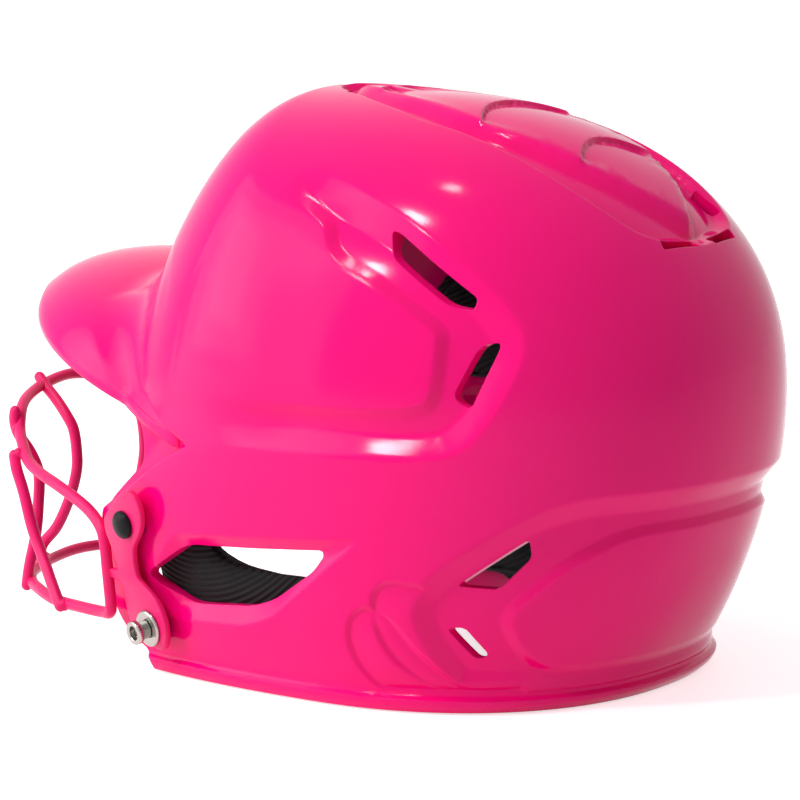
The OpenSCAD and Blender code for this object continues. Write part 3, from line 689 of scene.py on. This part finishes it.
def addTube(bm, route, radius, toward, closed=False, sides=16):
    # rings along the route, with rounded ends unless it closes; toward gives each ring's first direction
    count = len(route)
    stations = []
    for i, at in enumerate(route):
        if closed:
            along = route[(i + 1) % count] - route[i - 1]
        else:
            along = route[min(i + 1, count - 1)] - route[max(i - 1, 0)]
        stations.append((at, along.normalized(), radius))
    if not closed:
        for end, sign in ((0, -1), (-1, 1)):
            at, along, _ = stations[end]
            cap = [(at + along * sign * radius * math.sin(a), along, radius * math.cos(a)) for a in (0.5, 0.95, 1.3)]
            stations = cap[::-1] + stations if end == 0 else stations + cap
    rings = []
    for at, along, size in stations:
        first = toward(at) - along * toward(at).dot(along)
        first.normalize()
        second = along.cross(first)
        rings.append([bm.verts.new(at + size * (math.cos(a) * first + math.sin(a) * second))
                      for a in (2 * math.pi * j / sides for j in range(sides))])
    stitchRings(bm, zip(rings, rings[1:]))
    if closed:
        stitchRings(bm, [(rings[-1], rings[0])])
    else:
        bm.faces.new(rings[0][::-1])
        bm.faces.new(rings[-1])


def plateMatrix(sign):
    g = guardSize
    matrix = (Matrix.Translation(g["plateAt"])
              @ Matrix.Rotation(math.radians(g["turn"]), 4, "Z") @ Matrix.Rotation(math.radians(g["lean"]), 4, "Y"))
    return matrix if sign > 0 else Matrix.Scale(-1, 4, (1, 0, 0)) @ matrix


def handOver(obj, node):
    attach(obj, "root")
    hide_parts(node)


wholeFrame = frameRoute + [(-x, y, z) for x, y, z in frameRoute[-2:0:-1]]
wirePath = smoothRoute(wholeFrame, 8, closed=True)
bm = bmesh.new()
addTube(bm, wirePath, guardSize["wire"], lambda at: at - Vector((0, -60, 50)), closed=True)
handOver(placeMesh(bm, "guardFrame", guardMaterial), "guard_frame_wire")

for barName, points in barRoutes.items():
    for side, sign in (("left", 1), ("right", -1)):
        route = smoothRoute([(sign * x, y, z) for x, y, z in points], 8)
        bm = bmesh.new()
        addTube(bm, route, guardSize["wire"], lambda at: Vector((1, 0, 0)))
        # a weld bead where each end lies on the frame
        for part in (route[:len(route) // 2], route[len(route) // 2:]):
            a, b = min(((a, b) for a in part for b in wirePath[::2]), key=lambda pair: (pair[0] - pair[1]).length)
            made = bmesh.ops.create_uvsphere(bm, u_segments=16, v_segments=10, radius=guardSize["bead"])
            bmesh.ops.scale(bm, vec=(1.15, 1.0, 1.0), verts=made["verts"])
            bmesh.ops.translate(bm, vec=(a + b) / 2, verts=made["verts"])
        piece = placeMesh(bm, side + barName.capitalize() + "Bar", guardMaterial)
        handOver(piece, "guard_" + side + "_" + barName + "_bar")


def buildPlate(sign):
    # the flat plate with its tab to the frame wire, and a bevel all round
    g = guardSize
    bm = bmesh.new()
    ring = [bm.verts.new((g["gap"], y, z)) for y, z in roundedOutline(plateOutline, 4.0, 4)]
    extrudeRing(bm, ring, (g["thick"], 0, 0))
    bmesh.ops.remove_doubles(bm, verts=bm.verts, dist=0.02)
    rims = [e for e in bm.edges if abs(e.verts[0].co.x - e.verts[1].co.x) < 1e-6]
    bmesh.ops.bevel(bm, geom=rims, offset=g["edge"], offset_type="OFFSET", affect="EDGES", segments=3, profile=0.5,
                    material=-1, clamp_overlap=True)
    bmesh.ops.transform(bm, matrix=plateMatrix(sign), verts=bm.verts)
    return placeMesh(bm, "sidePlate", guardMaterial)


def buildSpun(name, material, at, base, profile, sign):
    # a turned part on the plate: the profile holds (radius, height above the base)
    bm = bmesh.new()
    line = [bm.verts.new((base + h, 0, r)) for r, h in profile]
    edges = [bm.edges.new(pair) for pair in zip(line, line[1:])]
    bmesh.ops.spin(bm, geom=line + edges, cent=(0, 0, 0), axis=(1, 0, 0), dvec=(0, 0, 0), angle=math.tau, steps=56,
                   use_merge=True)
    bmesh.ops.remove_doubles(bm, verts=bm.verts, dist=0.004)
    bmesh.ops.translate(bm, vec=(0, at[0], at[1]), verts=bm.verts)
    bmesh.ops.transform(bm, matrix=plateMatrix(sign), verts=bm.verts)
    return placeMesh(bm, name, material)


def arcPoints(centre, radius, start, end, steps):
    # a quarter turn or so of (radius, height) points
    angles = [math.radians(start + (end - start) * k / steps) for k in range(steps + 1)]
    return [(centre[0] + radius * math.cos(a), centre[1] + radius * math.sin(a)) for a in angles]


# half sections, from the shaft's inner end over the head to the middle
screwProfile = ([(0, -15.0), (2.1, -15.0), (2.4, -14.6), (2.4, 0.1), (4.7, 0.1)]
                + arcPoints((4.72, 0.38), 0.28, -90, 0, 3)
                + [(5.0 * math.cos(math.radians(a)), 0.8 + 2.4 * math.sin(math.radians(a))) for a in range(6, 72, 6)]
                + [(1.0, 3.16), (0, 3.2)])
studProfile = ([(0, -16.4), (2.1, -16.4), (2.4, -16.0), (2.4, 0.05), (3.25, 0.05), (3.25, 2.9), (3.35, 3.1),
                (4.0, 3.35), (4.25, 3.75)]
               + arcPoints((3.75, 5.1), 0.5, 0, 90, 4)
               + arcPoints((2.9, 5.15), 0.45, 90, 180, 4)
               + [(2.45, 2.75), (2.2, 2.6), (0, 2.6)])
washerProfile = ([(2.45, 0.0), (6.1, 0.0)]
                 + arcPoints((6.1, 0.4), 0.4, -90, 0, 3)
                 + arcPoints((5.8, 0.7), 0.7, 0, 90, 4)
                 + [(3.9, 1.4), (3.7, 1.3), (2.45, 1.3), (2.45, 0.0)])
for side, sign in (("left", 1), ("right", -1)):
    g = guardSize
    plate = buildPlate(sign)
    plate.name = side + "Plate"
    handOver(plate, "guard_" + side + "_plate")
    screw = buildSpun(side + "Screw", screwMaterial, g["screwAt"], g["wallTop"], screwProfile, sign)
    handOver(screw, "guard_" + side + "_screw")
    stud = buildSpun(side + "Stud", chromeMaterial, g["studAt"], g["wallTop"] + g["washer"], studProfile, sign)
    handOver(stud, "strap_" + side + "_stud")
    washer = buildSpun(side + "Washer", chromeMaterial, g["studAt"], g["wallTop"], washerProfile, sign)
    handOver(washer, "strap_" + side + "_washer")
    for piece in (screw, stud, washer):
        piece.data.set_sharp_from_angle(angle=math.radians(50))
    plate.data.set_sharp_from_angle(angle=math.radians(60))
for name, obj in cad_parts.items():
    material = rubberMaterial if "spacer" in name else nutMaterial if "nut" in name else None
    if material:
        for slot in obj.material_slots:
            slot.material = material
print("guard and fasteners built")


# the soft goods
def buildKnitGroup():
    # ribs of a stretch knit, with a fine weave over them; the colour is darker in the grooves between the ribs, a
    # painted shade
    group, inputs, outputs = newGroup(
        "ribbedKnit",
        [("Vector", "NodeSocketVector", None), ("Ribs", "NodeSocketFloat", 150.0)],
        [("Color", "NodeSocketColor"), ("Roughness", "NodeSocketFloat"), ("Normal", "NodeSocketVector")])
    place = addNode(group, "ShaderNodeTexCoord").outputs["Object"]
    waves = addNode(group, "ShaderNodeTexWave", {"Vector": inputs.outputs["Vector"], "Scale": inputs.outputs["Ribs"],
                                                 "Distortion": 0.25, "Detail": 1.0, "Detail Scale": 1.0},
                    wave_type="RINGS", rings_direction="X", wave_profile="SIN").outputs["Fac"]
    weave = addNode(group, "ShaderNodeTexVoronoi", {"Vector": place, "Scale": 1100.0}).outputs["Distance"]
    fluff = addNode(group, "ShaderNodeTexNoise", {"Vector": place, "Scale": 2600.0, "Detail": 2.0}).outputs
    # painted shade: the colour follows the ribs' waves, darker in their grooves and lighter on their tops
    ribs = colorRamp(group, waves, (0.0006, 0.0006, 0.0008, 1), (0.009, 0.0095, 0.012, 1))
    tint = mixColors(group, 0.35, ribs, fluff["Color"], "MULTIPLY")
    rough = remap(group, fluff["Fac"], 0.0, 1.0, 0.62, 0.88)
    height = maths(group, "MULTIPLY_ADD", weave, 0.22, waves)
    bump = addNode(group, "ShaderNodeBump", {"Height": height, "Strength": 0.8, "Distance": 0.0007})
    feed(group, outputs, {"Color": tint, "Roughness": rough, "Normal": bump.outputs["Normal"]})
    return group


knitGroup = buildKnitGroup()


def knitMaterial(name, centre, ribs):
    material, tree, shader = newMaterial(name)
    place = addNode(tree, "ShaderNodeTexCoord").outputs["Object"]
    shift = addNode(tree, "ShaderNodeMapping", {"Vector": place, "Location": tuple(-c for c in centre)})
    knit = addNode(tree, "ShaderNodeGroup", {"Vector": shift.outputs["Vector"], "Ribs": ribs}, node_tree=knitGroup)
    feed(tree, shader, {name: knit.outputs[name] for name in ("Roughness", "Normal")})
    feed(tree, shader, {"Base Color": knit.outputs["Color"], "Specular IOR Level": 0.2, "Sheen Weight": 0.04,
                        "Sheen Roughness": 0.5})
    return material


def foamMaterial():
    material, tree, shader = newMaterial("blueFoam")
    place = addNode(tree, "ShaderNodeTexCoord").outputs["Object"]
    cells = addNode(tree, "ShaderNodeTexVoronoi", {"Vector": place, "Scale": 900.0}).outputs["Distance"]
    color = colorRamp(tree, noise(tree, place, 40.0, 3.0), (0.004, 0.1, 0.42, 1), (0.01, 0.2, 0.62, 1))
    bump = addNode(tree, "ShaderNodeBump", {"Height": cells, "Strength": 0.5, "Distance": 0.0004})
    feed(tree, shader, {"Base Color": color, "Normal": bump.outputs["Normal"], "Roughness": 0.8})
    return material


threadMaterial = coatedMaterial("seamBinding", rubberLook)
linerMaterial = foamMaterial()


def copyNode(name, material):
    # the CAD piece as a new object at the origin
    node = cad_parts[name]
    mesh = node.data.copy()
    mesh.transform(node.matrix_world)
    mesh.materials.clear()
    mesh.materials.append(material)
    obj = bpy.data.objects.new(name + "Soft", mesh)
    scene.collection.objects.link(obj)
    return obj


def domeTurn(points):
    # where the dome's leaning axis stands at each point's height, and the point's turn round it
    s = shellSize
    axis = s["crownLean"] * np.clip((points[:, 2] - s["beltHeight"]) / s["crownHeight"], 0, 1) ** 2
    return axis, np.arctan2(points[:, 1] - axis, points[:, 0])


def wallDepth(points):
    # how far each point (millimetres) lies inside the dome's outer surface
    axis, angle = domeTurn(points)
    surface = domePoints(angle, points[:, 2], np.zeros(len(points)))
    return np.hypot(surface[:, 0], surface[:, 1] - axis) - np.hypot(points[:, 0], points[:, 1] - axis)


def seamLoops(bm, values, level):
    # closed lines where the values cross the level, one point on each edge crossed
    crossing = {}
    for edge in bm.edges:
        a, b = values[edge.verts[0].index], values[edge.verts[1].index]
        if (a > level) != (b > level):
            crossing[edge] = edge.verts[0].co.lerp(edge.verts[1].co, (level - a) / (b - a))
    links = {edge: [] for edge in crossing}
    for face in bm.faces:
        cut = [e for e in face.edges if e in crossing]
        if len(cut) == 2:
            links[cut[0]].append(cut[1])
            links[cut[1]].append(cut[0])
    loops, left = [], set(crossing)
    for first in crossing:
        if first not in left:
            continue
        loop, edge = [], first
        while edge is not None and edge in left:
            left.discard(edge)
            loop.append(crossing[edge])
            edge = next((e for e in links[edge] if e in left), None)
        if len(loop) > 30:
            loops.append(loop)
    return loops


def reachForward(points, share, lift):
    # the pad drawn out towards the front along the wall, and a little taller
    angle = domeTurn(points)[1]
    angle = angle.max() + (angle - angle.max()) * share
    z = points[:, 2].min() + (points[:, 2] - points[:, 2].min()) * lift
    return domePoints(angle, z, wallDepth(points))


# the groove and the bound edge round each pad, and how deep in its thickness they run
seamSize = {"share": 0.45, "groove": 0.7, "spread": 2.2, "binding": 0.75}


def finishPad(obj, node, mirrored, reach=None):
    # seams after the simulation
    for sign, target in ((1, node), (-1, mirrored)):
        if not target:
            continue
        bm = bmesh.new()
        bm.from_mesh(obj.data)
        bmesh.ops.transform(bm, matrix=Matrix.Translation((0, -centreY, 0)) @ Matrix.Scale(1000, 4), verts=bm.verts)
        bm.verts.index_update()
        if reach:
            for v, p in zip(bm.verts, reachForward(np.array([v.co[:] for v in bm.verts]), *reach)):
                v.co = p
        depth = wallDepth(np.array([v.co[:] for v in bm.verts]))
        low, high = np.percentile(depth, 4), np.percentile(depth, 96)
        level = low + (high - low) * seamSize["share"]
        loops = seamLoops(bm, depth, level)
        bm.normal_update()
        for v, value in zip(bm.verts, depth):
            v.co -= v.normal * seamSize["groove"] * max(0.0, 1 - abs(value - level) / seamSize["spread"])
        for face in bm.faces:
            face.material_index = 0
        count = len(bm.faces)
        for loop in loops:
            smooth = [sum((loop[(i + k) % len(loop)] for k in range(-3, 4)), Vector()) / 7 for i in range(len(loop))]
            middle = sum(smooth, Vector()) / len(smooth)
            route = smooth[::2] if len(smooth) > 80 else smooth
            addTube(bm, route, seamSize["binding"], lambda at: at - middle, closed=True, sides=8)
        bm.faces.ensure_lookup_table()
        for face in bm.faces[count:]:
            face.material_index = 1
        if sign < 0:
            bmesh.ops.scale(bm, vec=(-1, 1, 1), verts=bm.verts)
        piece = placeMesh(bm, target + "Cloth", obj.data.materials[0])
        piece.data.materials.append(threadMaterial)
        handOver(piece, target)
    bpy.data.objects.remove(obj)


# centre is the middle of the ribs' rings in metres; reach is how far forward and up the pad is drawn out
padLooks = {
    "front_pad": {"centre": (0, 0, 0.06), "ribs": 120.0, "mirror": None},
    "rear_pad": {"centre": (0, 0.1, 0.0), "ribs": 120.0, "mirror": None},
    "left_side_pad": {"centre": (0.08, 0.03, 0.02), "ribs": 150.0, "mirror": "right_side_pad"},
    "left_rear_side_pad": {"centre": (0.08, 0.12, 0.02), "ribs": 150.0, "mirror": "right_rear_side_pad"},
    "left_ear_pad": {"centre": (0.08, -0.02, 0.085), "ribs": 150.0, "mirror": "right_ear_pad", "reach": (1.12, 1.07)},
}
clothFrames = 20
softPieces = {}
for name, look in padLooks.items():
    obj = copyNode(name, knitMaterial(name + "Knit", look["centre"], look["ribs"]))
    remeshVoxels(obj, 0.0045)
    thin = obj.modifiers.new("thin", "DISPLACE")
    thin.strength = -0.0012
    thin.mid_level = 0.0
    applyModifiers(obj)
    cloth = obj.modifiers.new("cloth", "CLOTH")
    cloth.settings.quality = 6
    cloth.settings.use_pressure = True
    cloth.settings.uniform_pressure_force = 4.0
    cloth.settings.tension_stiffness = 20.0
    cloth.settings.compression_stiffness = 20.0
    cloth.settings.bending_stiffness = 1.5
    cloth.settings.effector_weights.gravity = 0.0
    cloth.point_cache.frame_start = 1
    cloth.point_cache.frame_end = clothFrames
    softPieces[name] = obj
for frameNumber in range(1, clothFrames + 1):
    scene.frame_set(frameNumber)
for name, obj in softPieces.items():
    finer = obj.modifiers.new("finer", "SUBSURF")
    finer.levels = 1
    finer.render_levels = 1
    applyModifiers(obj)
    finishPad(obj, name, padLooks[name]["mirror"], padLooks[name].get("reach"))
scene.frame_set(1)

# the strip of foam under the crown's rear slots: turns in degrees, heights and depths under the dome
stripSize = {"turn": (55, 125), "height": (137, 161), "depth": (9.0, 14.0), "columns": 28, "rows": 8}


def addRearStrip(obj):
    # a closed curved strip, which the remesh joins to the foam
    columns, rows = stripSize["columns"], stripSize["rows"]
    turns = np.radians(np.linspace(*stripSize["turn"], columns + 1))
    levels = np.linspace(*stripSize["height"], rows + 1)
    bm = bmesh.new()
    bm.from_mesh(obj.data)
    sides = []
    for depth in stripSize["depth"]:
        side = []
        for turn in turns:
            line = domePoints(np.full(rows + 1, turn), levels, np.full(rows + 1, depth))
            side.append([bm.verts.new(p) for p in (line + np.array([0, centreY, 0])) / 1000])
        sides.append(side)
    for side in sides:
        for i in range(columns):
            for j in range(rows):
                bm.faces.new((side[i][j], side[i + 1][j], side[i + 1][j + 1], side[i][j + 1]))
    rim = [(i, 0) for i in range(columns)] + [(columns, j) for j in range(rows)]
    rim += [(i, rows) for i in range(columns, 0, -1)] + [(0, j) for j in range(rows, 0, -1)]
    for (i, j), (k, m) in zip(rim, rim[1:] + rim[:1]):
        bm.faces.new((sides[0][i][j], sides[0][k][m], sides[1][k][m], sides[1][i][j]))
    bmesh.ops.recalc_face_normals(bm, faces=bm.faces)
    bm.to_mesh(obj.data)
    bm.free()


# the blue foam liner, its cut edges rounded
linerPiece = copyNode("crown_liner", linerMaterial)
addRearStrip(linerPiece)
remeshVoxels(linerPiece, 0.0025)
relax = linerPiece.modifiers.new("relax", "SMOOTH")
relax.factor = 0.5
relax.iterations = 3
applyModifiers(linerPiece)
linerPiece.name = "foamLiner"
handOver(linerPiece, "crown_liner")
print("soft goods built")

# camera, lights and stage
target = Vector((0.0102, 0.0168, 0.0915))


def direction(azimuth, elevation):
    a, e = math.radians(azimuth), math.radians(elevation)
    return Vector((math.sin(a) * math.cos(e), -math.cos(a) * math.cos(e), math.sin(e)))


def aim(obj, azimuth, elevation, distance):
    # places a camera or a lamp that looks at the target
    way = direction(azimuth, elevation)
    obj.location = target + way * distance
    obj.rotation_euler = way.to_track_quat("Z", "Y").to_euler()
    scene.collection.objects.link(obj)


camera = bpy.data.cameras.new("camera")
camera.angle = 2 * math.atan(400 / 3384)  # half the picture's width over the fitted focal length, both in pixels
cameraObject = bpy.data.objects.new("camera", camera)
aim(cameraObject, 125, 8.5, 1.2)
scene.camera = cameraObject

# azimuth, elevation and distance, then width and height, power and share in the diffuse light;
# the key is three boxes one behind the other, so that its reflection fades out
lamps = {
    "keySmall": ((40, 22, 1.6), (0.6, 0.8), 2.2, 1.0),
    "keyMiddle": ((40, 22, 1.61), (1.0, 1.2), 4.9, 1.0),
    "keyWide": ((40, 22, 1.62), (1.5, 1.7), 10.4, 1.0),
    "spotHigh": ((72, 67, 1.23), (0.13, 0.09), 3.5, 0.7),
    "spotLow": ((73, 43, 1.3), (0.12, 0.09), 3.6, 0.7),
    "spotTop": ((32, 84, 1.3), (0.05, 0.05), 0.6, 0.7),
}
for name, (place, size, power, share) in lamps.items():
    lamp = bpy.data.lights.new(name, "AREA")
    lamp.shape = "RECTANGLE"
    lamp.size, lamp.size_y = size
    lamp.energy = power
    lamp.diffuse_factor = share
    aim(bpy.data.objects.new(name, lamp), *place)


def seenRays(tree):
    # 1 for the rays that see or mirror the background, or pass through something to it
    path = addNode(tree, "ShaderNodeLightPath").outputs
    seen = maths(tree, "MAXIMUM", path["Is Camera Ray"], path["Is Transmission Ray"])
    return maths(tree, "MAXIMUM", seen, path["Is Glossy Ray"])


# a white background that lights the object only dimly
world = bpy.data.worlds.new("studio")
world.use_nodes = True
tree = world.node_tree
strength = remap(tree, seenRays(tree), 0.0, 1.0, 0.32, 1.0)
feed(tree, tree.nodes["Background"], {"Strength": strength, "Color": (1, 1, 1, 1)})
scene.world = world

# a plain white floor that keeps the object's shadow; its glow makes up for the dim world
floorSize = {"half": 12.0, "drop": 0.0006, "glow": 0.66}
floorMaterial, floorTree, floorShader = newMaterial("paleFloor")
glow = maths(floorTree, "MULTIPLY", seenRays(floorTree), floorSize["glow"])
feed(floorTree, floorShader, {"Base Color": (0.95, 0.95, 0.95, 1), "Roughness": 0.6, "Emission Color": (1, 1, 1, 1),
                              "Emission Strength": glow})
bm = bmesh.new()
bmesh.ops.create_grid(bm, x_segments=1, y_segments=1, size=floorSize["half"])
bmesh.ops.translate(bm, vec=(0, 0, -floorSize["drop"]), verts=bm.verts)
floorMesh = bpy.data.meshes.new("floor")
bm.to_mesh(floorMesh)
bm.free()
floorMesh.materials.append(floorMaterial)
floor = bpy.data.objects.new("floor", floorMesh)
scene.collection.objects.link(floor)
floor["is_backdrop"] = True
scene.view_settings.view_transform = "Standard"

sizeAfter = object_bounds()
plain = lambda box: [[float(c) for c in corner] for corner in box]
{"before": plain(sizeBefore), "after": plain(sizeAfter)}
